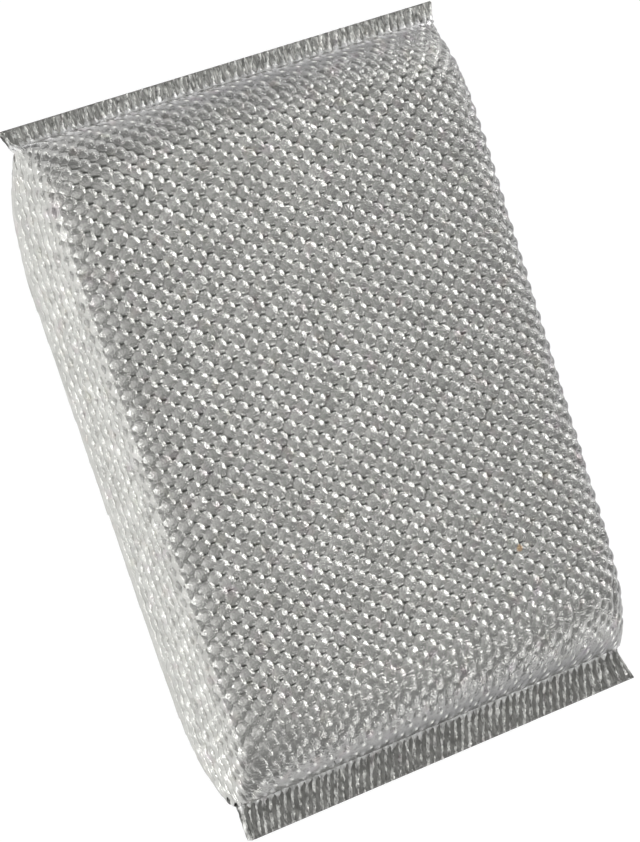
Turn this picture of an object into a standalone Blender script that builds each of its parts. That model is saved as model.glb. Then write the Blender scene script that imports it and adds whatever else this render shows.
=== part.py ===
"""Scouring pad: a foam block in a tube of coarse metallised knit.

The tube's two ends are pressed flat and welded into ribbed fins. The pad lies
on its back: +X across it, +Y along it towards the far fin, +Z up out of its
face. The origin is under its middle, on the surface that it rests on.
"""
import math

import bmesh
import bpy
import numpy as np

# The body, outside the knit. A taper widens the far end and narrows the near one.
PAD_WIDTH = 0.084
PAD_THICKNESS = 0.0212
BODY_LENGTH = 0.111
END_TAPER = 0.0010
LENGTH_CROWN = 0.0008

# Squareness of the section: of the middle, and of the two ends, whose corners
# soften over the corner run.
EDGE_POWER = 6.4
FAR_CORNER_POWER = 2.4
NEAR_CORNER_POWER = 3.4
CORNER_RUN = 0.024

# The end slopes, where the body comes down to its welds.
FAR_SLOPE_RUN = 0.0115
NEAR_SLOPE_RUN = 0.0135
SLOPE_POWER = 2.2
ROOT_TUCK = 0.0010

# The welded fins. A rise lifts one end of a fin above the pad's mid-plane.
FAR_FIN_WIDTH = 0.0034
NEAR_FIN_WIDTH = 0.0058
FIN_THICKNESS = 0.0014
FIN_POWER = 14
FIN_FLARE = 0.0012
FAR_FIN_RISE = 0.0025
NEAR_FIN_RISE = 0.0011

# The knit: lengthwise columns that stand up as ridges, with open gaps between.
# A gap lies in a furrow, so the shift between rows is an odd number of half columns.
COLUMN_PITCH = 0.00180
RIDGE_HEIGHT = 0.00045
WALL = 0.00095
GAP_WIDTH = 0.0012
GAP_LENGTH = 0.0020
GAP_ROW_SPACING = 0.0115
GAP_COLUMN_STEP = 6
GAP_SHIFT = 3
GAP_SIDE_MARGIN = 0.0070
GAP_END_MARGIN = 0.0070

# How deep the ridges are pressed flat where the pad lies on its back.
PRESS_DEPTH = 0.00018

# The foam block.
FOAM_CLEARANCE = 0.0003

INNER_SIDES = 48
SLOPE_STATIONS = (0.14, 0.5, 1.0)
CURVE_SAMPLES = 1440

HALF_BODY = BODY_LENGTH / 2
STRAIGHT = HALF_BODY - CORNER_RUN
HALF_WIDTH = PAD_WIDTH / 2
HALF_HEIGHT = PAD_THICKNESS / 2
FIN_HALF = FIN_THICKNESS / 2
MID_HEIGHT = HALF_HEIGHT - PRESS_DEPTH
CAVITY_INSET = RIDGE_HEIGHT + WALL
FOAM_INSET = CAVITY_INSET + FOAM_CLEARANCE


def clear_scene():
    for obj in list(bpy.data.objects):
        bpy.data.objects.remove(obj, do_unlink=True)


def make_material(name, colour, roughness, metallic):
    material = bpy.data.materials.new(name)
    material.use_nodes = True
    shader = material.node_tree.nodes["Principled BSDF"]
    shader.inputs["Base Color"].default_value = (*colour, 1.0)
    shader.inputs["Roughness"].default_value = roughness
    shader.inputs["Metallic"].default_value = metallic
    return material


def slope_run(y):
    return FAR_SLOPE_RUN if y > 0 else NEAR_SLOPE_RUN


def fullness(y):
    """0 on a fin, rising to 1 where the end slope meets the flat of the pad."""
    depth = max(0.0, HALF_BODY - abs(y))
    reach = min(1.0, depth / slope_run(y))
    return (1 - (1 - reach) ** SLOPE_POWER) ** (1 / SLOPE_POWER)


def end_reach(y):
    """0 over the pad's straight middle, rising to 1 at the weld."""
    return min(1.0, max(0.0, abs(y) - STRAIGHT) / CORNER_RUN)


def half_height(y):
    """Half the pad's height at y: a fin, an end slope, or the middle."""
    crown = LENGTH_CROWN * end_reach(y) ** 2
    return FIN_HALF + (HALF_HEIGHT - crown - FIN_HALF) * fullness(y)


def half_width(y):
    """Half the pad's width at y. It tucks in at the weld and flares on the fin."""
    tapered = HALF_WIDTH + END_TAPER * y / HALF_BODY
    beyond = abs(y) - HALF_BODY
    if beyond > 0:
        fin = FAR_FIN_WIDTH if y > 0 else NEAR_FIN_WIDTH
        return tapered - ROOT_TUCK + FIN_FLARE * beyond / fin
    return tapered - ROOT_TUCK * (1 - fullness(y))


def edge_power(y):
    """The section's squareness at y: its full value, softened towards the ends."""
    corner = FAR_CORNER_POWER if y > 0 else NEAR_CORNER_POWER
    return EDGE_POWER + (corner - EDGE_POWER) * end_reach(y) ** 2


def rise(x, y):
    """Lift of the mid-plane: the far fin's right end, the near fin's left end."""
    lift = FAR_FIN_RISE if y > 0 else NEAR_FIN_RISE
    side = x / HALF_WIDTH if y > 0 else -x / HALF_WIDTH
    return lift * np.clip((1 + side) / 2, 0, None) * (1 - fullness(y))


def outline(y, inset=0.0):
    """The pad's section at y, finely sampled: x, z and the length along it.

    Its half height is that of a flat fin with square edges, plus a superellipse
    that fills out from nothing at the weld to the full body.
    """
    power = edge_power(y)
    width = half_width(y) - inset
    bulge = half_height(y) - inset - FIN_HALF
    angle = np.linspace(0, 2 * math.pi, CURVE_SAMPLES + 1)
    across = np.abs(np.cos(angle)) ** (2 / power)
    up = np.abs(np.sin(angle)) ** (2 / power)
    flat = (1 - across ** FIN_POWER) ** (1 / FIN_POWER)
    x = width * np.sign(np.cos(angle)) * across
    z = np.sign(np.sin(angle)) * (FIN_HALF * flat + bulge * up)
    length = np.concatenate([[0], np.cumsum(np.hypot(np.diff(x), np.diff(z)))])
    return x, z, length


def column_count():
    """Columns in the whole tube: an even number, so that they pair in a fin."""
    around = outline(0.0)[2][-1]
    return 2 * round(around / COLUMN_PITCH / 2)


def ridged_section(y, ridge):
    """Outside of the knit at y, from its right edge over its face and back.

    The points are evenly spaced, two to a column. Every other one is sunk by
    the ridge's height, so that a column has one crest, with one at the middle.
    """
    sides = 2 * column_count()
    x, z, length = outline(y)
    step = np.arange(sides)
    at = length[-1] * step / sides
    px, pz = np.interp(at, length, x), np.interp(at, length, z)
    sunk = (step - sides // 4) % 2 * ridge
    px -= sunk * px / half_width(y)
    # Rounded to a micrometre, so that the two side points count as level.
    pz -= sunk * np.sign(np.round(pz, 6))
    return np.stack([px, np.full(sides, y), pz + MID_HEIGHT + rise(px, y)], axis=1)


def smooth_section(y, inset):
    """Outline inside the tube at y, moved in on every side by the inset."""
    x, z, _ = outline(y, inset)
    every = CURVE_SAMPLES // INNER_SIDES
    px, pz = x[:-1:every], z[:-1:every]
    moved = np.full(INNER_SIDES, y - math.copysign(inset, y))
    return np.stack([px, moved, pz + MID_HEIGHT + rise(px, y)], axis=1)


def loft(name, rings):
    """Closed body through the rings. Each end is stitched from top to bottom."""
    mesh = bmesh.new()
    rows = [[mesh.verts.new(point) for point in ring.tolist()] for ring in rings]
    sides = len(rows[0])
    for low, high in zip(rows, rows[1:]):
        for k in range(sides):
            n = (k + 1) % sides
            mesh.faces.new((low[k], low[n], high[n], high[k]))
    for row in (rows[0], rows[-1]):
        for k in range(sides // 2):
            corners = [row[k], row[k + 1], row[sides - k - 1], row[(sides - k) % sides]]
            mesh.faces.new(list(dict.fromkeys(corners)))
    bmesh.ops.recalc_face_normals(mesh, faces=mesh.faces)
    data = bpy.data.meshes.new(name)
    mesh.to_mesh(data)
    mesh.free()
    return bpy.data.objects.new(name, data)


def body_stations():
    """Y of each ring on the body: on the end slopes, and where the corners end."""
    far = [HALF_BODY - FAR_SLOPE_RUN * t for t in SLOPE_STATIONS]
    near = [NEAR_SLOPE_RUN * t - HALF_BODY for t in SLOPE_STATIONS]
    return sorted(near + [-STRAIGHT, STRAIGHT] + far)


def knit_blank():
    """The tube and its fins as a solid, with a ridge for each column."""
    near_edge = -HALF_BODY - NEAR_FIN_WIDTH
    far_edge = HALF_BODY + FAR_FIN_WIDTH
    stations = [near_edge, -HALF_BODY] + body_stations() + [HALF_BODY, far_edge]
    rings = []
    for y in stations:
        on_fin = abs(y) >= HALF_BODY
        ridge = RIDGE_HEIGHT / 2 if on_fin else RIDGE_HEIGHT
        rings.append(ridged_section(y, ridge))
    return loft("knit_cover", rings)


def block(name, inset):
    """A smooth solid inside the tube, with every side moved in by the inset."""
    return loft(name, [smooth_section(y, inset) for y in body_stations()])


def gap_cutter():
    """Upright four-sided pins, in the furrows between columns, staggered by row."""
    near_limit = NEAR_SLOPE_RUN - HALF_BODY + GAP_END_MARGIN
    far_limit = HALF_BODY - FAR_SLOPE_RUN - GAP_END_MARGIN
    rows = int((far_limit - near_limit) / GAP_ROW_SPACING) + 1
    first = (near_limit + far_limit - (rows - 1) * GAP_ROW_SPACING) / 2
    middle = column_count() // 2
    mesh = bmesh.new()
    for row in range(rows):
        y = first + row * GAP_ROW_SPACING
        face = ridged_section(y, RIDGE_HEIGHT)[: 2 * middle + 1, 0]
        shift = GAP_SHIFT if row % 2 else -GAP_SHIFT
        start = (middle + shift) % (2 * GAP_COLUMN_STEP)
        for x in face[start :: 2 * GAP_COLUMN_STEP]:
            if abs(x) < HALF_WIDTH - GAP_SIDE_MARGIN:
                add_pin(mesh, float(x), y)
    data = bpy.data.meshes.new("gap_pins")
    mesh.to_mesh(data)
    mesh.free()
    return bpy.data.objects.new("gap_pins", data)


def add_pin(mesh, x, y):
    """A diamond-shaped pin that stands clear of both faces of the pad."""
    pin = bmesh.ops.create_cone(mesh, cap_ends=True, segments=4, radius1=0.5,
                                radius2=0.5, depth=2 * PAD_THICKNESS)
    bmesh.ops.scale(mesh, verts=pin["verts"], vec=(GAP_WIDTH, GAP_LENGTH, 1))
    bmesh.ops.translate(mesh, verts=pin["verts"], vec=(x, y, MID_HEIGHT))


def table_cutter():
    """A slab wider and longer than the pad, whose top is the surface it lies on."""
    mesh = bmesh.new()
    slab = bmesh.ops.create_cube(mesh, size=1.0)
    size = (2 * PAD_WIDTH, 2 * BODY_LENGTH, PAD_THICKNESS)
    bmesh.ops.scale(mesh, verts=slab["verts"], vec=size)
    bmesh.ops.translate(mesh, verts=slab["verts"], vec=(0, 0, -PAD_THICKNESS / 2))
    data = bpy.data.meshes.new("table")
    mesh.to_mesh(data)
    mesh.free()
    return bpy.data.objects.new("table", data)


def cut(target, cutter, collection):
    cutter.hide_render = True
    cutter.display_type = "WIRE"
    collection.objects.link(cutter)
    boolean = target.modifiers.new(cutter.name, "BOOLEAN")
    boolean.operation = "DIFFERENCE"
    boolean.solver = "EXACT"
    boolean.object = cutter


def build():
    clear_scene()
    pad = bpy.data.collections.new("scouring_pad")
    cutters = bpy.data.collections.new("cutters")
    for collection in (pad, cutters):
        bpy.context.scene.collection.children.link(collection)

    cover = knit_blank()
    pad.objects.link(cover)
    cut(cover, block("cavity", CAVITY_INSET), cutters)
    cut(cover, gap_cutter(), cutters)
    cut(cover, table_cutter(), cutters)
    cover.data.materials.append(
        make_material("metallised_polyester_knit", (0.42, 0.42, 0.40), 0.35, 0.8))

    foam = block("foam_core", FOAM_INSET)
    pad.objects.link(foam)
    foam.data.materials.append(
        make_material("polyurethane_foam", (0.30, 0.30, 0.27), 0.95, 0.0))


build()
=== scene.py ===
"""Scouring pad, dressed: the knit's loops, the two welds, the foam and the studio."""
import math
from types import SimpleNamespace

import bpy
import numpy as np
from mathutils import Matrix, Vector


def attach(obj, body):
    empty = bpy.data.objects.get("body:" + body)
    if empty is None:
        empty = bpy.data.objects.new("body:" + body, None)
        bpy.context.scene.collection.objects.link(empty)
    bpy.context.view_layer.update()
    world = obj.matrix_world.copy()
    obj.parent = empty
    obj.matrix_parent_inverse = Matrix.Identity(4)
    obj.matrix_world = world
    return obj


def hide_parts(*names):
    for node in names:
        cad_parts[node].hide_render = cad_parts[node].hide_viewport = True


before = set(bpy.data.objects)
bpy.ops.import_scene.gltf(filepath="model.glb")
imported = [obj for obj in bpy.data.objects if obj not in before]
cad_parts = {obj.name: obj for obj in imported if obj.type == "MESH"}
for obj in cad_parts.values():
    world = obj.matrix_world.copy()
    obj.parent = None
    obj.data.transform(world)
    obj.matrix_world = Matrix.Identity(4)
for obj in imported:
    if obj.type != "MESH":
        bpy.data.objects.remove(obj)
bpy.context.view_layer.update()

MM = 0.001

# The tube's outside, as the solids have it: the body, its end slopes and its fins.
PAD_WIDTH = 84 * MM
PAD_THICKNESS = 21.2 * MM
BODY_LENGTH = 111 * MM
END_TAPER = 1.0 * MM
LENGTH_CROWN = 0.8 * MM
EDGE_POWER = 6.4
FAR_CORNER_POWER = 2.4
NEAR_CORNER_POWER = 3.4
CORNER_RUN = 24 * MM
FAR_SLOPE_RUN = 11.5 * MM
NEAR_SLOPE_RUN = 13.5 * MM
SLOPE_POWER = 2.2
ROOT_TUCK = 1.0 * MM
FAR_FIN_WIDTH = 3.4 * MM
NEAR_FIN_WIDTH = 5.8 * MM
FIN_THICKNESS = 1.4 * MM
FIN_POWER = 14
FIN_FLARE = 1.2 * MM
FAR_FIN_RISE = 2.5 * MM
NEAR_FIN_RISE = 1.1 * MM
PRESS_DEPTH = 0.18 * MM

HALF_BODY = BODY_LENGTH / 2
HALF_WIDTH = PAD_WIDTH / 2
HALF_HEIGHT = PAD_THICKNESS / 2
STRAIGHT = HALF_BODY - CORNER_RUN
FIN_HALF = FIN_THICKNESS / 2
MID_HEIGHT = HALF_HEIGHT - PRESS_DEPTH

# How the photographed ends stray from the even solids: shears, tucks and trims, 2.1 mm at most.
NEAR_FIN_SHEAR = 1.25 * MM
NEAR_FIN_NARROWING = 0.35 * MM
FAR_LEFT_TUCK = 2.1 * MM
FAR_LEFT_FIN_TUCK = 0.8 * MM
FAR_LEFT_RUN = 21 * MM
TUCK_POWER_ALONG = 1.3
TUCK_POWER_ACROSS = 1.5
FAR_FIN_TRIM = 0.35 * MM
RIGHT_TRIM = 0.35 * MM
RIGHT_TRIM_POWER = 3
ROOT_FILLET = 0.45 * MM
FILLET_REACH = 0.8 * MM

# The knit: columns round the tube, and rows of loops from weld to weld, longer at the near
# one. The fins' rings are counted on in rows of an even pitch.
COLUMNS = 110
ROWS = 44
ROW_STRETCH = 0.6
STRETCH_REACH = 9 * MM
ROW_PITCH = 2.7 * MM
RINGS_PER_LOOP = 10
WAIST_CROWDING = 0.38
FIN_RING = 0.30 * MM
# Across a strand, its points as shares of its half width: the outermost two are its edges.
SECTION = (1.0, 0.88, 0.50, 0.14, -0.14, -0.50, -0.88, -1.0)
SIDES = len(SECTION)

# A loop on the face. Every width of a strand is a share of the distance between columns.
LOOP_HEIGHT = 0.60 * MM
LOOP_FULLNESS = 1.70
LOOP_SWELL = 0.55
WAIST_SHARE = 0.12
WAIST_WIDTH = 0.95
DOME_DROP = 0.66
DOME_POWER = 1.35
CREST_SHIFT = 0.28
CREST_DRIFT = 0.16
# A loop elsewhere is a bead: on the walls, where it is drawn out, and round the corners.
BEAD_POWER = 1.4
WALL_RELIEF = 1.1
WALL_WAIST = 0.2
WALL_WIDTH = 1.25
DRAWN_FLATTENING = 0.72
DRAWN_WAIST = 0.4
DRAWN_WIDTH = 1.4
CORNER_WIDTH = 1.20
CORNER_SPREAD = 0.25
RIM_SPREAD = 0.1
RIM_SWELL = 0.8
# Where these zones begin, and where they are whole. The first three are in rows from a weld,
# and the rest in how far the tube faces sideways or up, as a part of its outward unit vector.
FIN_ZONE = (-0.1, 0.3)
NEAR_DRAWN_ZONE = (7.2, 1.2)
FAR_DRAWN_ZONE = (4.4, 0.4)
WALL_ZONE = (0.5, 0.9)
SIDE_ZONE = (0.2, 0.5)
RIM_ZONE = (0.12, -0.28)

# The ribs on the fins: the same strands pressed flat, lumpy, and leaning along the weld. The
# shares are of the height and of the width: the plain rib, a lump, and the ripple.
RIB_HEIGHT = 0.30 * MM
RIB_HEIGHT_SHARES = (0.80, 0.20, 0.10)
RIB_WIDTH = 0.74
RIB_WIDTH_SHARES = (0.92, 0.16, 0.05)
RIB_LUMPS = 1.7
RIB_SLANT = 0.385
RIB_END_POWER = 10

# How much the loops vary, as standard deviations. The roll is in radians, and the tone is a
# share of the way from its darkest to its lightest.
VARIES = {"height": 0.06, "width": 0.04, "rib": 0.18, "roll": 0.045, "shift": 0.03,
          "lean": 0.08, "tone": 0.22}
CRUMPLE = 0.012 * MM
# Loops are counted from 4 rows before the near weld, for the fins reach past both welds.
EARLY_ROWS = 4
COUNTED_ROWS = ROWS + 12

# How finely the tube is worked out, how far to each side of a column its slope is taken, in
# columns, and the tightest bend that a strand follows.
CURVE_SAMPLES = 1440
SIDE_STEP = 0.25
STEEPEST_BEND = 0.8 / MM

# The values that the knit's points carry for its material, and how far the painted shade on the
# end slopes and the right flank, the shallower painted shade in the pits and the painted light
# along the fin roots go.
MARKS = ("tone", "melt", "painted_shade", "depth", "course", "across", "drawn", "root_light")
SHADE_SLOPE_ZONE = (0.2, 0.8)
SHADE_SLOPE_LEFT_CUT = 0.45
SHADE_FLANK_ZONE = (0.1, 0.6)
SHADE_FLANK = 0.60
SHADE_RIGHT = 0.30
PIT_SIDE_CUT = 0.9
PIT_DRAWN_CUT = 0.6
ROOT_LIGHT_REACH = 0.7 * MM
SPECK_PLACE = (20.6 * MM, -32.3 * MM, 20.8 * MM)
SPECK_RADIUS = 0.75 * MM

# Sectors of the knit, each with the first of its columns and the first of the next sector's.
SECTORS = {
    "knit_right_wall": (-5, 5),
    "knit_face_right": (5, 27),
    "knit_face_left": (27, 50),
    "knit_left_wall": (50, 60),
    "knit_back_left": (60, 82),
    "knit_back_right": (82, 105),
}

# The foam and the fused film lie inside the knit. The film also reaches into the body.
FOAM_INSET = 0.8 * MM
WELD_HALF = FIN_HALF - 0.16 * MM
WELD_INSET = 0.12 * MM
WELD_ROOT_INSET = 0.9 * MM
WELD_ROOT_RUN = 1.0 * MM
WELD_OVERLAP = 1.8 * MM

# The paper sweep, in metres, and how it looks as background: with the share of its light
# that is still paper's, it comes out just white.
SWEEP_RADIUS = 2.4
SWEEP_BEND = 0.4
SWEEP_SIDES = 96
WHITE_SHARE = 0.82
WHITE_STRENGTH = 1.13

# The lamps: where each one's light comes from, its strength, and its width in degrees.
LAMPS = {
    "key": ((0.88, 0.16, 0.45), 0.54, 16),
    "high_right": ((0.55, 0.15, 0.82), 0.14, 12),
    "front": ((0.50, -0.74, 0.42), 0.20, 12),
    "back": ((0.52, 0.74, 0.42), 0.24, 12),
    "low_left": ((-0.98, -0.05, 0.19), 0.42, 12),
    "overhead": ((-0.30, 0.0, 0.95), 0.27, 70),
    "left_fill": ((-0.90, -0.10, 0.38), 0.55, 80),
}
ROOM_STRENGTH = 0.30

# The camera, as fitted to the photograph: degrees, and metres from the pad's middle.
CAMERA_AZIMUTH = 31.535
CAMERA_TILT = 3.051
CAMERA_ROLL = -18.101
CAMERA_DISTANCE = 0.68814
CAMERA_ACROSS = -1.153 * MM
CAMERA_UP = -2.442 * MM
CAMERA_LENS = 178.9
CAMERA_SENSOR = 36
CAMERA_REACH = 20

rng = np.random.default_rng(7)


def linear(code):
    """An sRGB hex colour as linear red, green, blue and alpha."""
    levels = [int(code[i : i + 2], 16) / 255 for i in (1, 3, 5)]
    return (*[v / 12.92 if v <= 0.04045 else ((v + 0.055) / 1.055) ** 2.4 for v in levels], 1.0)


def ramp(value, start, full):
    """0 at the start, changing evenly to 1 at the full value, and held beyond both."""
    return np.clip((value - start) / (full - start), 0, 1)


def blend(low, high, share):
    """Low where the share is 0, high where it is 1."""
    return low + (high - low) * share


def unit(v):
    return v / np.linalg.norm(v, axis=-1, keepdims=True)


# The tube that the solids and every piece here are built on.


def slope_run(y):
    return np.where(y > 0, FAR_SLOPE_RUN, NEAR_SLOPE_RUN)


def fin_width(y):
    return np.where(y > 0, FAR_FIN_WIDTH, NEAR_FIN_WIDTH)


def fullness(y):
    """0 on a fin, rising as a superellipse to 1 where the end slope ends."""
    reach = ramp(HALF_BODY - np.abs(y), 0, slope_run(y))
    return (1 - (1 - reach) ** SLOPE_POWER) ** (1 / SLOPE_POWER)


def end_reach(y):
    """0 over the pad's straight middle, rising evenly to 1 at the weld."""
    return ramp(np.abs(y) - STRAIGHT, 0, CORNER_RUN)


def fin_reach(y):
    """0 on the body, rising evenly to 1 at a fin's outer edge."""
    return ramp(np.abs(y) - HALF_BODY, 0, fin_width(y))


def half_height(y):
    """Half the tube's height: a fin's, or the body's, which drops a little to its ends."""
    crown = LENGTH_CROWN * end_reach(y) ** 2
    return FIN_HALF + (HALF_HEIGHT - crown - FIN_HALF) * fullness(y)


def half_width(y):
    """Tapered along the pad, tucked in at the weld, flared on the fin."""
    tapered = HALF_WIDTH + END_TAPER * y / HALF_BODY
    return tapered - ROOT_TUCK * (1 - fullness(y)) + FIN_FLARE * fin_reach(y)


def edge_power(y):
    """The superellipse's power: square edges along the middle, rounder ones at the ends."""
    corner = np.where(y > 0, FAR_CORNER_POWER, NEAR_CORNER_POWER)
    return EDGE_POWER + (corner - EDGE_POWER) * end_reach(y) ** 2


def rise(x, y):
    """Lift of the mid-plane at one end of each fin, fading up the end slope."""
    lift = np.where(y > 0, FAR_FIN_RISE, NEAR_FIN_RISE)
    side = np.where(y > 0, x, -x) / HALF_WIDTH
    return lift * np.clip((1 + side) / 2, 0, None) * (1 - fullness(y))


def tube(shares, levels):
    """Points of the tube's outside, by share of the way round and by Y.

    At each level the section is a flat fin with square edges plus a
    superellipse, and its points are spaced by length, from the right edge
    over the face to the left edge and back underneath.
    """
    y = levels[:, None]
    angle = np.linspace(0, 2 * math.pi, CURVE_SAMPLES + 1)
    cos, sin = np.cos(angle), np.sin(angle)
    power = edge_power(y)
    across = np.abs(cos) ** (2 / power)
    flat = (1 - across**FIN_POWER) ** (1 / FIN_POWER)
    bulge = half_height(y) - FIN_HALF
    x = half_width(y) * np.sign(cos) * across
    z = np.sign(sin) * (FIN_HALF * flat + bulge * np.abs(sin) ** (2 / power))
    length = np.cumsum(np.hypot(np.diff(x), np.diff(z)), axis=1)
    length = np.concatenate([np.zeros_like(y), length], axis=1)
    at = shares * length[:, -1:]
    px = np.array([np.interp(*row) for row in zip(at, length, x)])
    pz = np.array([np.interp(*row) for row in zip(at, length, z)])
    py = np.broadcast_to(y, px.shape)
    return np.stack([px, py, pz + MID_HEIGHT + rise(px, py)], axis=2).transpose(1, 0, 2)


def slope_levels(samples):
    """Y along the near end slope and along the far one, crowded where the body turns up."""
    turn = np.linspace(0, 1, samples) ** SLOPE_POWER
    return NEAR_SLOPE_RUN * turn - HALF_BODY, (HALF_BODY - FAR_SLOPE_RUN * turn)[::-1]


def tube_levels():
    """Y from the near fin's edge to the far one's."""
    near, far = slope_levels(160)
    near_fin = np.linspace(-HALF_BODY - NEAR_FIN_WIDTH, -HALF_BODY, 40)
    middle = np.linspace(NEAR_SLOPE_RUN - HALF_BODY, HALF_BODY - FAR_SLOPE_RUN, 200)
    far_fin = np.linspace(HALF_BODY, HALF_BODY + FAR_FIN_WIDTH, 30)
    return np.concatenate([near_fin[:-1], near[:-1], middle[:-1], far[:-1], far_fin])


def fin_shear(x, y):
    """Sideways lean of the near fin's outer edge, a little more at its left end."""
    lean = NEAR_FIN_SHEAR - NEAR_FIN_NARROWING * x / HALF_WIDTH
    return np.where(y < 0, lean, 0)


def fit_ends(points):
    """Moves the ends as the photograph has them: shears, tucks and trims."""
    x, y = points[..., 0].copy(), points[..., 1].copy()
    reach = fin_reach(y)
    leftward = ramp(-x, 0, HALF_WIDTH) ** TUCK_POWER_ACROSS
    close = ramp(y, HALF_BODY - FAR_LEFT_RUN, HALF_BODY) ** TUCK_POWER_ALONG
    past_root = ramp(y - HALF_BODY, -0.8 * MM, 0.2 * MM)
    tuck = blend(close * FAR_LEFT_TUCK, FAR_LEFT_FIN_TUCK, past_root)
    trim = RIGHT_TRIM * ramp(x, 0, HALF_WIDTH) ** RIGHT_TRIM_POWER
    points[..., 0] += fin_shear(x, y) * reach + tuck * leftward - trim
    points[..., 1] -= np.where(y > 0, FAR_FIN_TRIM, 0) * reach
    # A fillet where each fin leaves the body, above and below.
    above = np.clip((points[..., 2] - MID_HEIGHT - rise(x, y)) / FIN_HALF, -1, 1)
    from_root = np.abs(np.abs(y) - HALF_BODY)
    points[..., 2] += above * ROOT_FILLET * np.exp(-from_root / FILLET_REACH)


# The knit.


def ring_rows(odd):
    """Where the rings lie along a column, counted in rows of loops from the near weld.

    They crowd at the waists between loops. An odd column is half a row on.
    """
    step = np.arange(ROWS * RINGS_PER_LOOP + 1) / RINGS_PER_LOOP + odd / 2
    body = step - WAIST_CROWDING * np.sin(2 * math.pi * step) / (2 * math.pi) - odd / 2
    near = -np.arange(FIN_RING, NEAR_FIN_WIDTH, FIN_RING)[::-1] / ROW_PITCH
    far = ROWS + np.arange(FIN_RING, FAR_FIN_WIDTH, FIN_RING) / ROW_PITCH
    edges = (-NEAR_FIN_WIDTH / ROW_PITCH, ROWS + FAR_FIN_WIDTH / ROW_PITCH)
    return np.concatenate([[edges[0]], near, body, far, [edges[1]]])


def column_paths():
    """Rings' centres on the tube, the step from each to the next column, and their rows.

    Each column's length on the body is shared out evenly among its rows,
    once it is weighted less near the near weld, so that the loops there are
    longer.
    """
    share = (np.arange(COLUMNS) + 0.5) / COLUMNS
    y = tube_levels()
    on_tube = tube(share, y)
    nudge = SIDE_STEP / COLUMNS
    sideways = (tube(share + nudge, y) - tube(share - nudge, y)) / (2 * SIDE_STEP)
    step = np.linalg.norm(np.diff(on_tube, axis=1), axis=2)
    none = np.zeros((COLUMNS, 1))
    far = np.concatenate([none, np.cumsum(step, axis=1)], axis=1)
    weld = [np.searchsorted(y, s * HALF_BODY - 1e-9) for s in (-1, 1)]
    start, end = far[:, weld[0], None], far[:, weld[1], None]
    weight = 1 / (1 + ROW_STRETCH * np.exp(-np.abs(far - start) / STRETCH_REACH))
    count = np.cumsum(step * (weight[:, 1:] + weight[:, :-1]) / 2, axis=1)
    count = np.concatenate([none, count], axis=1)
    body = count - count[:, weld[0], None]
    body = body / body[:, weld[1], None] * ROWS
    rows_at = np.where(far < start, (far - start) / ROW_PITCH,
                       np.where(far > end, ROWS + (far - end) / ROW_PITCH, body))
    rows = np.stack([ring_rows(c % 2) for c in range(COLUMNS)])

    def at_rings(field):
        return np.stack([
            np.stack([np.interp(rows[c], rows_at[c], field[c, :, k]) for k in range(3)], axis=1)
            for c in range(COLUMNS)])

    return at_rings(on_tube), at_rings(sideways), rows


def frames(centre, sideways):
    """Unit vectors across each column and outwards, and the distance to the next column."""
    along = unit(np.gradient(centre, axis=1))
    out = unit(np.cross(along, sideways))
    across = np.cross(out, along)
    pitch = np.abs(np.sum(sideways * across, axis=2))
    return across, out, pitch


def zones_of(centre, out, rows):
    """How far each ring lies in each zone of the tube, from 0 to 1, and its loops' relief."""
    y, sideward = centre[..., 1], np.abs(out[..., 0])
    on_fin = ramp(np.maximum(-rows, rows - ROWS), *FIN_ZONE)
    # Towards the welds the loops are drawn out flat, and their pits close.
    drawn = np.maximum(ramp(rows, *NEAR_DRAWN_ZONE), ramp(ROWS - rows, *FAR_DRAWN_ZONE))
    # On the walls they are short beads on an even strand, smoothed off below, at the rim.
    steep = ramp(sideward, *WALL_ZONE) * fullness(y)
    side_on = ramp(sideward, *SIDE_ZONE)
    rim = side_on * ramp(out[..., 2], *RIM_ZONE)
    relief = LOOP_HEIGHT * (1 + (WALL_RELIEF - 1) * steep)
    relief = relief * (1 - DRAWN_FLATTENING * drawn * (1 - steep))
    return SimpleNamespace(on_fin=on_fin, drawn=drawn * (1 - on_fin), steep=steep,
                           side_on=side_on, rim=rim, relief=relief)


def strand_sizes(zone, y, rows, place, vary):
    """How far each ring has swelled, from 0 to 1, its height, and its width in pitches."""
    wave = np.sin(math.pi * place)
    bead = wave**BEAD_POWER
    swell = blend(wave**LOOP_SWELL, blend(DRAWN_WAIST, 1, bead), zone.drawn)
    swell = blend(swell, blend(WALL_WAIST, 1, bead), zone.steep)
    swell = blend(swell, RIM_SWELL, zone.rim)
    ripple = rng.normal(0, 1, rows.shape)
    phase = rng.uniform(0, 6.3, (COLUMNS, 1))
    lump = 0.5 + 0.5 * np.sin(2 * math.pi * RIB_LUMPS * rows + phase)

    def ribbed(plain, lumpy, rippled):
        return plain + lumpy * lump + rippled * ripple

    height = zone.relief * blend(WAIST_SHARE, 1 + vary("height"), swell)
    height = blend(height, RIB_HEIGHT * ribbed(*RIB_HEIGHT_SHARES), zone.on_fin)
    width = blend(WAIST_WIDTH, LOOP_FULLNESS * (1 + vary("width")), swell)
    width = blend(width, WALL_WIDTH, zone.steep)
    width = blend(width, DRAWN_WIDTH, zone.drawn * (1 - zone.steep))
    # At the corners they spread to keep the tube closed, but less beside the thin fin.
    spread = CORNER_WIDTH + CORNER_SPREAD * fullness(y)
    width = blend(width, spread, zone.side_on * end_reach(y) ** 2)
    width = blend(width, spread + RIM_SPREAD, zone.rim)
    rib_width = RIB_WIDTH * (ribbed(*RIB_WIDTH_SHARES) + vary("rib"))
    width = blend(width, rib_width, zone.on_fin)
    return swell, height, width


def slant_ribs(points):
    """Leans the ribs along each weld, whatever the fin does, but not at its two ends."""
    x, y = points[..., 0], points[..., 1]
    inward = 1 - ramp(np.abs(x), 0, HALF_WIDTH) ** RIB_END_POWER
    lean = RIB_SLANT * np.sign(y) * fin_width(y) - FIN_FLARE * x / HALF_WIDTH - fin_shear(x, y)
    points[..., 0] += lean * fin_reach(y) * inward


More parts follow.
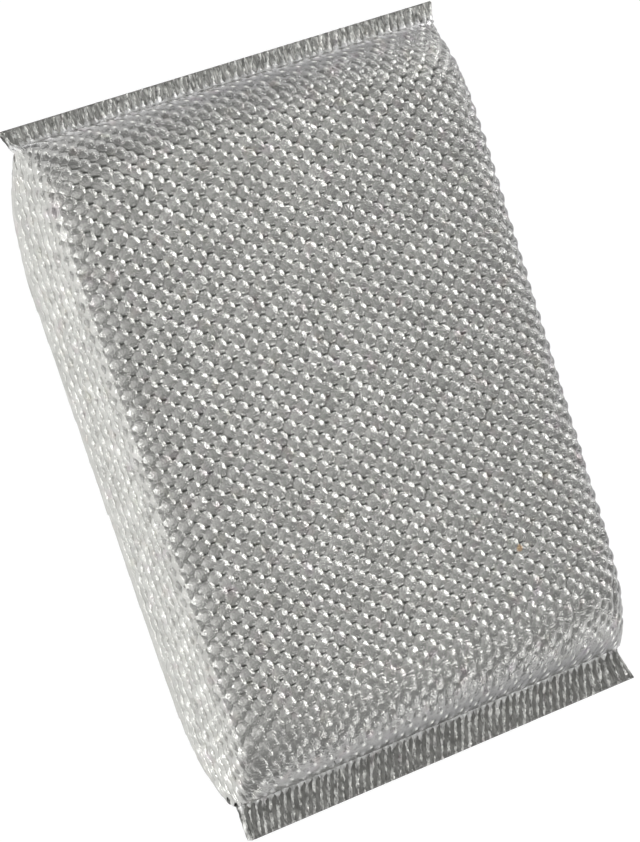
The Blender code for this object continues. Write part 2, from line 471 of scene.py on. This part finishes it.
def painted_shade_of(centre, out):
    """Painted shade, from 0 to 1: on the end slopes, less so towards the left, and on the right
    flank.
    """
    left, right = ramp(-centre[..., 0], 0, HALF_WIDTH), ramp(centre[..., 0], 0, HALF_WIDTH)
    flank = SHADE_RIGHT * right + SHADE_FLANK * ramp(out[..., 0], *SHADE_FLANK_ZONE)
    slope = ramp(np.abs(out[..., 1]), *SHADE_SLOPE_ZONE) * (1 - SHADE_SLOPE_LEFT_CUT * left)
    return np.maximum(slope, flank)


def marks_of(points, raised, course, tone, painted_shade, zone):
    """What the knit's material reads at each point, by the names in MARKS."""
    # The painted shade of the end slopes and right flank is carried as a mark of its own.
    by_ring = {"tone": tone, "melt": zone.on_fin, "painted_shade": painted_shade * (1 - zone.on_fin),
               "course": course, "drawn": zone.drawn}
    marks = {name: np.broadcast_to(value[..., None], raised.shape)
             for name, value in by_ring.items()}
    marks["across"] = np.broadcast_to(SECTION, raised.shape)
    # How deep a point lies in its loop's relief, which counts for less away from the face. The
    # material paints shade in the pits by it.
    pit = 1 - PIT_SIDE_CUT * zone.side_on
    pit = pit * (1 - PIT_DRAWN_CUT * zone.drawn) * (1 - zone.on_fin)
    marks["depth"] = np.clip(1 - raised / zone.relief[..., None], 0, 1) * pit[..., None]
    # Painted light along the root of each fin, lifting the shade of the crease there.
    marks["root_light"] = np.exp(-((np.abs(points[..., 1]) - HALF_BODY) / ROOT_LIGHT_REACH) ** 2)
    return marks


def knit_points():
    """Points of every column, as columns by rings by sides, with their marks and rows.

    A column is a strand that swells at each loop and draws in at the waist
    between loops, as a power of the sine of its place in the loop. Across it
    runs s, from 1 to -1. On the face its section is a low dome, 1 less a
    power of s, with its edges tucked under, so that neighbours merge and only
    the waists are pits. On the walls, where it is drawn out and on the fins
    it is the cosine of s quarter turns. The crest lies off the middle, and
    further off towards the loop's near end. The section rolls a little, sinks
    by the loops' relief, so that the crests lie on the tube, and bends with
    the tube by half the curvature times the square of the way across.
    """
    centre, sideways, rows = column_paths()
    across, out, pitch = frames(centre, sideways)
    course = rows + (np.arange(COLUMNS) % 2)[:, None] / 2
    place = course % 1
    loop = np.floor(course).astype(int) + EARLY_ROWS

    def vary(what):
        """A random value for each loop, the same over the whole of it."""
        table = rng.normal(0, VARIES[what], (COLUMNS, COUNTED_ROWS))
        return np.take_along_axis(table, loop, axis=1)

    zone = zones_of(centre, out, rows)
    swell, height, width = strand_sizes(zone, centre[..., 1], rows, place, vary)
    width = width * pitch / 2
    turn = vary("roll")[..., None]
    shift = vary("shift") * pitch * swell
    lean = CREST_SHIFT - CREST_DRIFT * (2 * place - 1) + vary("lean")
    lean = (lean * (1 - zone.on_fin))[..., None]

    s = np.array(SECTION)
    dome = np.where(np.abs(s) < 1, 1 - DOME_DROP * np.abs(s) ** DOME_POWER, 0)
    arch = np.clip(np.cos(math.pi / 2 * s), 0, 1)
    rounded = np.maximum(np.maximum(zone.steep, zone.drawn), zone.on_fin)[..., None]
    side = width[..., None] * (s - lean * (1 - s**2))
    lift = height[..., None] * blend(dome, arch, rounded)
    crumple = CRUMPLE * (1 + zone.on_fin)
    jitter = rng.normal(0, 1, side.shape + (2,)) * crumple[..., None, None]
    side = side + jitter[..., 0]
    lift = lift + jitter[..., 1]
    rolled = side * np.cos(turn) - lift * np.sin(turn) + shift[..., None]
    raised = lift * np.cos(turn) + side * np.sin(turn)
    # A strand's two sides bend with the tube, so that they lie on it round a tight corner.
    turned = (np.roll(out, -1, axis=0) - np.roll(out, 1, axis=0)) / 2
    bend = np.clip(np.sum(turned * across, axis=2) / pitch, 0, STEEPEST_BEND)
    sunk = blend(zone.relief, RIB_HEIGHT, zone.on_fin)
    sag = sunk[..., None] + bend[..., None] * side**2 / 2
    points = (centre[:, :, None]
              + across[:, :, None] * rolled[..., None]
              + out[:, :, None] * (raised - sag)[..., None])
    slant_ribs(points)
    fit_ends(points)
    points[..., 2] = np.maximum(points[..., 2], 0)
    tone = 0.5 + vary("tone")
    return points, marks_of(points, raised, course, tone, painted_shade_of(centre, out), zone), rows


def strand_faces(columns, rings):
    """Quads round and along every strand, then a cap at each of its ends."""
    corner = np.arange(columns * rings * SIDES).reshape(columns, rings, SIDES)
    beside = np.roll(corner, -1, axis=2)
    quads = np.stack([corner[:, :-1], beside[:, :-1], beside[:, 1:], corner[:, 1:]], axis=-1)
    caps = np.concatenate([corner[:, 0, ::-1], corner[:, -1]])
    return quads.reshape(-1, 4).tolist() + caps.tolist()


def bake_map(mesh, columns, rings, along):
    """Lays each strand out as an upright strip, with its caps at the map's foot and head."""
    margin, foot, cap_width, cap_height = 0.04, 0.01, 0.3, 0.003
    c, r, k = np.meshgrid(np.arange(columns), np.arange(rings - 1), np.arange(SIDES),
                          indexing="ij")
    u = [(c + margin + (1 - 2 * margin) * (k + side) / SIDES) / columns
         for side in (0, 1, 1, 0)]
    v = [foot + (1 - 2 * foot) * along[r + ahead] for ahead in (0, 0, 1, 1)]
    strips = np.stack([np.stack(u, axis=-1), np.stack(v, axis=-1)], axis=-1).reshape(-1, 2)
    spot = np.linspace(0, 2 * math.pi, SIDES, endpoint=False)
    ring = np.stack([np.cos(spot) * cap_width / columns, np.sin(spot) * cap_height], axis=1)
    middle = np.stack([(np.arange(columns) + 0.5) / columns, np.full(columns, foot / 2)],
                      axis=1)
    low = (middle[:, None] + ring).reshape(-1, 2)
    high = low + (0, 1 - foot)
    layer = mesh.uv_layers.new(name="OFBake")
    uv = np.concatenate([strips, low, high]).astype(np.float32)
    layer.data.foreach_set("uv", uv.ravel())


# The pieces.


def add_piece(name, points, faces, material):
    """A new piece, smooth shaded, from its points and its faces."""
    mesh = bpy.data.meshes.new(name)
    mesh.from_pydata(points.reshape(-1, 3).tolist(), [], faces)
    mesh.materials.append(material)
    mesh.shade_smooth()
    piece = bpy.data.objects.new(name, mesh)
    bpy.context.scene.collection.objects.link(piece)
    return piece


def dress(piece, nodes):
    """Hangs a piece on the root, and hides the solids that it stands for."""
    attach(piece, "root")
    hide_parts(*nodes)


def make_knit(material):
    """The tube of knit, in sectors of whole columns."""
    points, marks, rows = knit_points()
    rings = points.shape[1]
    along = (rows[0] - rows[0, 0]) / (rows[0, -1] - rows[0, 0])
    for name, (first, beyond) in SECTORS.items():
        pick = np.arange(first, beyond) % COLUMNS
        piece = add_piece(name, points[pick], strand_faces(len(pick), rings), material)
        for mark in MARKS:
            layer = piece.data.attributes.new(mark, "FLOAT", "POINT")
            layer.data.foreach_set("value", marks[mark][pick].astype(np.float32).ravel())
        bake_map(piece.data, len(pick), rings, along)
        dress(piece, ["knit_cover"])


def tube_faces(rings):
    """Quads along a tube of rings that run towards the far end, and a cap at each end."""
    count, sides = rings.shape[:2]
    corner = np.arange(count * sides).reshape(count, sides)
    beside = np.roll(corner, -1, axis=1)
    quads = np.stack([corner[:-1], corner[1:], beside[1:], beside[:-1]], axis=-1)
    return quads.reshape(-1, 4).tolist() + [corner[0].tolist(), corner[-1, ::-1].tolist()]


def make_foam(material):
    """The foam block: the tube's own form, moved in by the knit's depth."""
    near, far = slope_levels(14)
    middle = np.linspace(-STRAIGHT, STRAIGHT, 20)
    y = np.sort(np.concatenate([near[1:], middle, far[:-1]]))
    rings = tube(np.arange(96) / 96, y).transpose(1, 0, 2)
    rings = rings * (1 - FOAM_INSET / HALF_WIDTH, 1 - FOAM_INSET / HALF_BODY, 1)
    rings[..., 2] = blend(rings[..., 2], MID_HEIGHT, FOAM_INSET / HALF_HEIGHT)
    fit_ends(rings)
    foam = add_piece("foam_block", rings, tube_faces(rings), material)
    dress(foam, ["foam_core"])


def make_weld(name, side, material):
    """The fused film inside a fin: a thin plate that fills between the ribs."""
    fin = FAR_FIN_WIDTH if side > 0 else NEAR_FIN_WIDTH
    y = np.sort(side * (HALF_BODY + np.linspace(-WELD_OVERLAP, fin, 14)))
    rings = tube(np.arange(200) / 200, y).transpose(1, 0, 2)
    middle = MID_HEIGHT + rise(rings[..., 0], rings[..., 1])
    rings[..., 2] = middle + np.clip((rings[..., 2] - middle), -WELD_HALF, WELD_HALF)
    inside = ramp(HALF_BODY - np.abs(rings[..., 1]), 0, WELD_ROOT_RUN)
    rings[..., 0] *= 1 - (WELD_INSET + WELD_ROOT_INSET * inside) / HALF_WIDTH
    fit_ends(rings)
    weld = add_piece(name, rings, tube_faces(rings), material)
    dress(weld, ["knit_cover"])


def make_sweep(material):
    """A round floor whose rim turns up: a profile of radius and height, carried round."""
    bend = np.linspace(0, math.pi / 2, 12)
    radius = np.concatenate([[0.05, 0.5, 2.0], SWEEP_RADIUS + SWEEP_BEND * np.sin(bend)])
    height = np.concatenate([[0, 0, 0], SWEEP_BEND * (1 - np.cos(bend))])
    angle = np.linspace(0, 2 * math.pi, SWEEP_SIDES, endpoint=False)[:, None]
    points = np.stack([radius * np.cos(angle), radius * np.sin(angle),
                       np.broadcast_to(height, (SWEEP_SIDES, len(height)))], axis=-1)
    corner = np.arange(SWEEP_SIDES * len(height)).reshape(SWEEP_SIDES, -1)
    beside = np.roll(corner, -1, axis=0)
    quads = np.stack([corner[:, :-1], corner[:, 1:], beside[:, 1:], beside[:, :-1]], axis=-1)
    floor = add_piece("paper_sweep", points, quads.reshape(-1, 4).tolist()
                      + [corner[:, 0].tolist()], material)


# Nodes and materials.


def add(tree, kind, inputs=None, **settings):
    """Adds a node. An input is a value, or the output socket that feeds it."""
    made = tree.nodes.new(kind)
    for name, value in settings.items():
        setattr(made, name, value)
    for name, value in (inputs or {}).items():
        if isinstance(value, bpy.types.NodeSocket):
            tree.links.new(value, made.inputs[name])
        else:
            made.inputs[name].default_value = value
    return made


def new_material(name):
    """A material and its node tree, which is empty."""
    material = bpy.data.materials.new(name)
    material.use_nodes = True
    material.node_tree.nodes.clear()
    return material, material.node_tree


def place_in(tree):
    """The place on the object, in metres, which every pattern reads."""
    return add(tree, "ShaderNodeTexCoord").outputs["Object"]


def shade(tree, inputs):
    """Ends a material with one principled shader."""
    shader = add(tree, "ShaderNodeBsdfPrincipled", inputs)
    add(tree, "ShaderNodeOutputMaterial", {"Surface": shader.outputs["BSDF"]})


def math_of(tree, operation, *values):
    """Works out one operation on numbers or sockets."""
    return add(tree, "ShaderNodeMath", dict(enumerate(values)), operation=operation).outputs[0]


def range_of(tree, value, low, high, at_low=0.0, at_high=1.0, kind="LINEAR"):
    """Carries a value from one range to another, and holds it beyond both ends."""
    spans = {"Value": value, "From Min": low, "From Max": high, "To Min": at_low,
             "To Max": at_high}
    return add(tree, "ShaderNodeMapRange", spans, interpolation_type=kind).outputs[0]


def mix_colours(tree, factor, low, high):
    """Blends two colours, each a hex code or a socket, by a factor from 0 to 1."""
    low, high = [linear(c) if isinstance(c, str) else c for c in (low, high)]
    # The mixer's sockets 0, 6 and 7 are the factor and its two colours.
    mixer = add(tree, "ShaderNodeMix", {0: factor, 6: low, 7: high}, data_type="RGBA")
    return mixer.outputs[2]


def noise_of(tree, place, size, detail):
    """Noise with lumps of a size in metres, as the node's outputs."""
    return add(tree, "ShaderNodeTexNoise",
               {"Vector": place, "Scale": 1 / size, "Detail": detail}).outputs


def streaks(tree, place, size, squeeze):
    """Noise of a size across, drawn out by 1 / squeeze in the direction of the ribs."""
    drawn = add(tree, "ShaderNodeMapping", {"Vector": place, "Rotation": (0, 0, RIB_SLANT),
                                            "Scale": (1.0, squeeze, 1.0)})
    return noise_of(tree, drawn.outputs[0], size, 3.0)["Fac"]


def crest_of(tree, value, middle, reach):
    """A smooth hump of 1 at the middle, 9/16 at the reach and 0 from twice the reach on."""
    away = math_of(tree, "DIVIDE", math_of(tree, "SUBTRACT", value, middle), reach * 2)
    inside = math_of(tree, "MINIMUM", math_of(tree, "ABSOLUTE", away), 1.0)
    falling = math_of(tree, "SUBTRACT", 1.0, math_of(tree, "MULTIPLY", inside, inside))
    return math_of(tree, "MULTIPLY", falling, falling)


def spot_of(tree, marks, across, along):
    """A smooth spot on every loop, by its middle and reach across the strand and along it."""
    return math_of(tree, "MULTIPLY", crest_of(tree, marks["across"], *across),
                   crest_of(tree, math_of(tree, "FRACT", marks["course"]), *along))


def tape_creases(tree, place, marks):
    """The tape's folds and crinkles, as bump: heights in millimetres."""
    # Each loop carries one fold along its crest, that tapers out before its ends.
    depth = math_of(tree, "MULTIPLY_ADD", marks["drawn"], 0.05, 0.03)
    fold = math_of(tree, "MULTIPLY", spot_of(tree, marks, (0.0, 0.17), (0.58, 0.16)), depth)
    # Crinkles about 0.4 mm apart, as crumpled tape shows: smoother where it is drawn out,
    # deeper where it has melted.
    rough = math_of(tree, "MULTIPLY_ADD", marks["melt"], 0.10, 0.15)
    rough = math_of(tree, "MULTIPLY_ADD", marks["drawn"], -0.06, rough)
    crinkle = noise_of(tree, place, 0.4 * MM, 2.0)["Fac"]
    height = math_of(tree, "MULTIPLY_ADD", crinkle, rough, fold)
    return add(tree, "ShaderNodeBump", {"Height": height, "Distance": 1.0 * MM}).outputs[0]


def tape_colour(tree, place, marks):
    """The tape's colour from loop to loop and zone to zone, with painted shade and painted
    highlights.
    """
    colour = mix_colours(tree, marks["tone"], "#BEBEBA", "#DADAD6")
    # Painted shade: the end slopes and the right flank are darkened, where the tape would
    # mirror a darker room.
    colour = mix_colours(tree, marks["painted_shade"], colour, "#929292")
    # Painted shade: the tape that lies deep between loops is darkened, for the shade in the
    # pits.
    painted_pit_shade = range_of(tree, marks["depth"], 0.42, 0.86, kind="SMOOTHSTEP")
    colour = mix_colours(tree, painted_pit_shade, colour, "#5A5A56")
    # Painted highlight: on the end slopes the crest of each loop is lightened as a glint.
    sloping = math_of(tree, "MINIMUM", 1.0, math_of(tree, "MULTIPLY", marks["drawn"], 1.4))
    painted_crest_glint = math_of(tree, "MULTIPLY", spot_of(tree, marks, (0.08, 0.20), (0.56, 0.11)), sloping)
    colour = mix_colours(tree, painted_crest_glint, colour, "#F6F6F2")
    # The welded ribs are blotched: bright where the film is whole, dark where it has melted.
    blotch = range_of(tree, streaks(tree, place, 0.7 * MM, 0.45), 0.34, 0.68,
                      kind="SMOOTHSTEP")
    colour = mix_colours(tree, marks["melt"], colour,
                         mix_colours(tree, blotch, "#7E7E7B", "#F2F2EE"))
    # Painted light: a bright line along the roots of the fins lifts the crease's shade, broken
    # by the same blotches.
    root_light = math_of(tree, "MULTIPLY", marks["root_light"],
                   math_of(tree, "MULTIPLY_ADD", blotch, 0.55, 0.35))
    colour = mix_colours(tree, root_light, colour, "#FFFFFF")
    # Faint tints, as thin film shows, in patches about 3 mm wide.
    film = noise_of(tree, place, 3.0 * MM, 1.0)
    patch = range_of(tree, film["Fac"], 0.52, 0.70, at_high=0.07)
    colour = mix_colours(tree, patch, colour, film["Color"])
    # One tan speck on the face, as photographed.
    away = add(tree, "ShaderNodeVectorMath", {0: place, 1: SPECK_PLACE},
               operation="DISTANCE").outputs["Value"]
    speck = range_of(tree, away, SPECK_RADIUS / 2, SPECK_RADIUS, at_low=0.8, at_high=0.0)
    return mix_colours(tree, speck, colour, "#D2B48C")


def tape_material():
    """Vapour-metallised polyester film, slit to tape, crumpled and knitted.

    It is a soft mirror: its creases throw small hard glints, and what lies
    between them takes the grey of the room.
    """
    material, tree = new_material("metallised_polyester_tape")
    place = place_in(tree)
    marks = {name: add(tree, "ShaderNodeAttribute", attribute_name=name).outputs["Fac"]
             for name in MARKS}
    shade(tree, {"Base Color": tape_colour(tree, place, marks), "Metallic": 1.0,
                 "Roughness": math_of(tree, "MULTIPLY_ADD", marks["melt"], 0.08, 0.26),
                 "Normal": tape_creases(tree, place, marks)})
    return material


def weld_material():
    """Metallised film melted by the welding jaw: duller and darker than the tape."""
    material, tree = new_material("fused_metallised_film")
    # The streaks run out from the weld: 0.6 mm apart across, and four times as long.
    melt = streaks(tree, place_in(tree), 0.6 * MM, 0.25)
    bump = add(tree, "ShaderNodeBump", {"Height": melt, "Distance": 0.30 * MM})
    shade(tree, {"Base Color": mix_colours(tree, melt, "#50504D", "#B8B8B4"),
                 "Metallic": 1.0, "Roughness": 0.36, "Normal": bump.outputs["Normal"]})
    return material


def foam_material():
    """Open-cell polyurethane foam, cut: matt, with cells about half a millimetre wide."""
    material, tree = new_material("polyurethane_foam")
    cells = add(tree, "ShaderNodeTexVoronoi",
                {"Vector": place_in(tree), "Scale": 1 / (0.5 * MM)})
    bump = add(tree, "ShaderNodeBump",
               {"Height": cells.outputs["Distance"], "Distance": 0.3 * MM})
    shade(tree, {"Base Color": linear("#7E7D70"), "Roughness": 0.95,
                 "Normal": bump.outputs["Normal"]})
    return material


def sweep_material():
    """White paper sweep: lit as paper, and lifted to white where it is the background."""
    material, tree = new_material("white_paper_sweep")
    path = add(tree, "ShaderNodeLightPath").outputs
    seen = math_of(tree, "MAXIMUM", path["Is Camera Ray"], path["Is Glossy Ray"])
    seen = math_of(tree, "MAXIMUM", seen, path["Is Transmission Ray"])
    paper = add(tree, "ShaderNodeBsdfDiffuse", {"Color": linear("#F8F8F8")})
    white = add(tree, "ShaderNodeEmission",
                {"Color": (1, 1, 1, 1), "Strength": WHITE_STRENGTH})
    mixed = add(tree, "ShaderNodeMixShader",
                {0: math_of(tree, "MULTIPLY", seen, WHITE_SHARE), 1: paper.outputs[0],
                 2: white.outputs[0]})
    add(tree, "ShaderNodeOutputMaterial", {"Surface": mixed.outputs[0]})
    return material


# The studio.


def light_studio():
    """A pale room, and distant lamps whose glints the photograph shows."""
    world = bpy.data.worlds.new("studio")
    world.use_nodes = True
    world.node_tree.nodes.clear()
    room = add(world.node_tree, "ShaderNodeBackground",
               {"Color": linear("#FFFFFF"), "Strength": ROOM_STRENGTH})
    add(world.node_tree, "ShaderNodeOutputWorld", {"Surface": room.outputs[0]})
    bpy.context.scene.world = world
    for name, (towards, strength, degrees) in LAMPS.items():
        light = bpy.data.lights.new(name, "SUN")
        light.energy = strength
        light.angle = math.radians(degrees)
        lamp = bpy.data.objects.new(name, light)
        lamp.rotation_mode = "QUATERNION"
        lamp.rotation_quaternion = Vector(towards).to_track_quat("Z", "Y")
        bpy.context.scene.collection.objects.link(lamp)


def place_camera():
    """Looks straight down on the pad, then swings left, tilts and rolls."""
    az, tilt, roll = map(math.radians, (CAMERA_AZIMUTH, CAMERA_TILT, CAMERA_ROLL))
    back = Vector((-math.sin(az) * math.cos(tilt), math.sin(tilt),
                   math.cos(az) * math.cos(tilt)))
    level = Vector((0, 1, 0)).cross(back).normalized()
    upright = back.cross(level)
    right = math.cos(roll) * level + math.sin(roll) * upright
    up = math.cos(roll) * upright - math.sin(roll) * level
    place = (Vector((0, 0, MID_HEIGHT)) + CAMERA_ACROSS * right + CAMERA_UP * up
             + CAMERA_DISTANCE * back)
    camera = bpy.data.objects.new("camera", bpy.data.cameras.new("camera"))
    camera.data.lens = CAMERA_LENS
    camera.data.sensor_width = CAMERA_SENSOR
    camera.data.clip_end = CAMERA_REACH
    camera.matrix_world = Matrix((
        (right.x, up.x, back.x, place.x), (right.y, up.y, back.y, place.y),
        (right.z, up.z, back.z, place.z), (0, 0, 0, 1)))
    bpy.context.scene.collection.objects.link(camera)
    bpy.context.scene.camera = camera


make_knit(tape_material())
fused = weld_material()
make_weld("near_weld", -1, fused)
make_weld("far_weld", 1, fused)
make_foam(foam_material())
make_sweep(sweep_material())
light_studio()
place_camera()
bpy.context.scene.view_settings.view_transform = "Standard"
